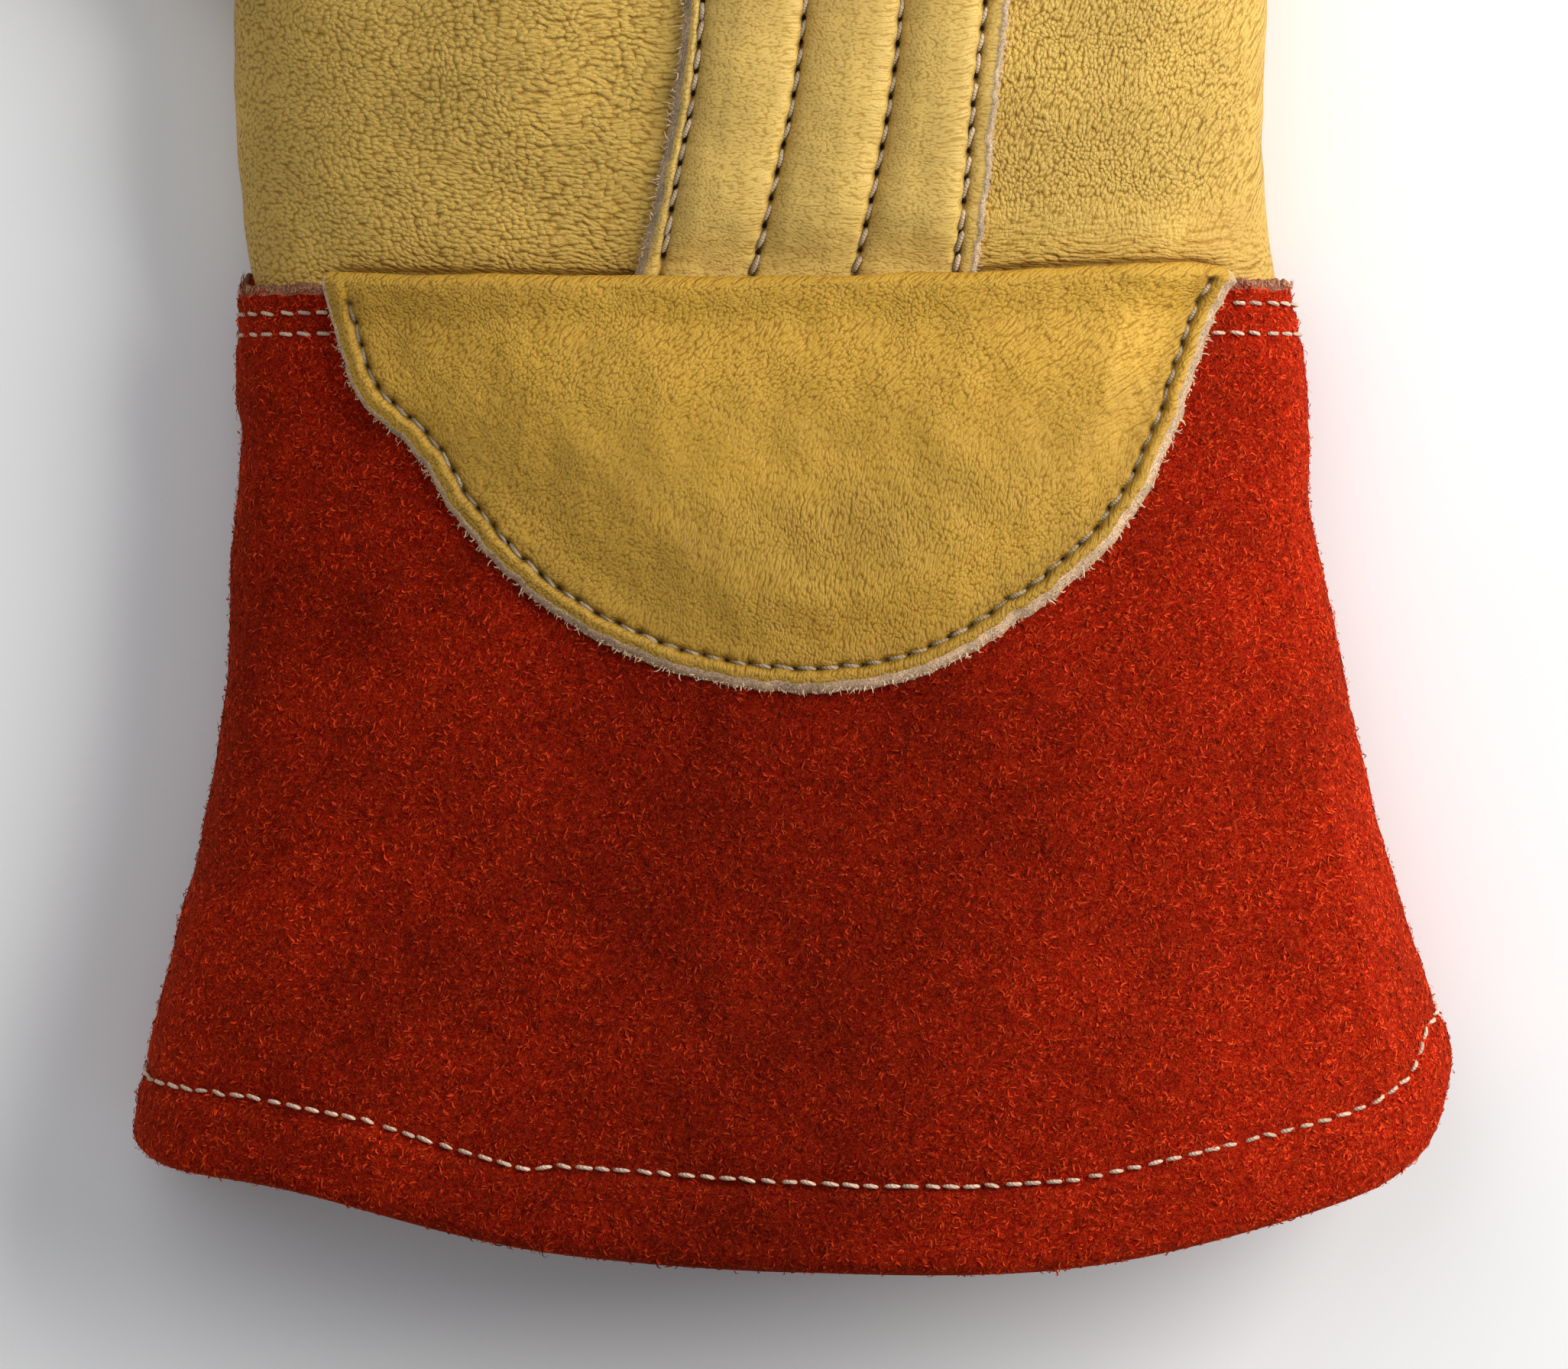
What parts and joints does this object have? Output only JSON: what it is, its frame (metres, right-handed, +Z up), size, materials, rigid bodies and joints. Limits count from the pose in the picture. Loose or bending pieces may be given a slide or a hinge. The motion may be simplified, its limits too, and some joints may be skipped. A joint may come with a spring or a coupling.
{
  "type": "leather protector glove",
  "caption": "Heavy leather work glove lying palm up, with padded channels on the palm, a half-moon wrist patch and a flared suede cuff.",
  "frame": {"origin": "on the resting plane under the middle of the wrist, between the two rows of stitches that join the cuff to the hand", "axes": "+Y from the cuff to the fingertips, +X to the little finger's side, +Z up out of the palm, away from the surface the glove lies on"},
  "size_m": [0.213, 0.3297, 0.0384],
  "materials": {
    "palm_leather": "yellow full-grain leather with fine wrinkles, soft sheen",
    "strip_leather": "smooth yellow grain leather over padding, with raw cut edges",
    "patch_leather": "yellow pebbled grain leather with a pale raw cut edge",
    "cuff_suede": "red split leather with a deep nap, stitched in off-white thread"
  },
  "bodies": {
    "root": {"palm": "palm_leather", "middle_front": "palm_leather", "ring_front": "palm_leather", "hand_back": "palm_leather", "thumb_front": "palm_leather", "thumb_back": "palm_leather", "rib_strip": "strip_leather", "wrist_patch": "patch_leather", "cuff_front": "cuff_suede", "cuff_back": "cuff_suede"}
  },
  "joints": []
}
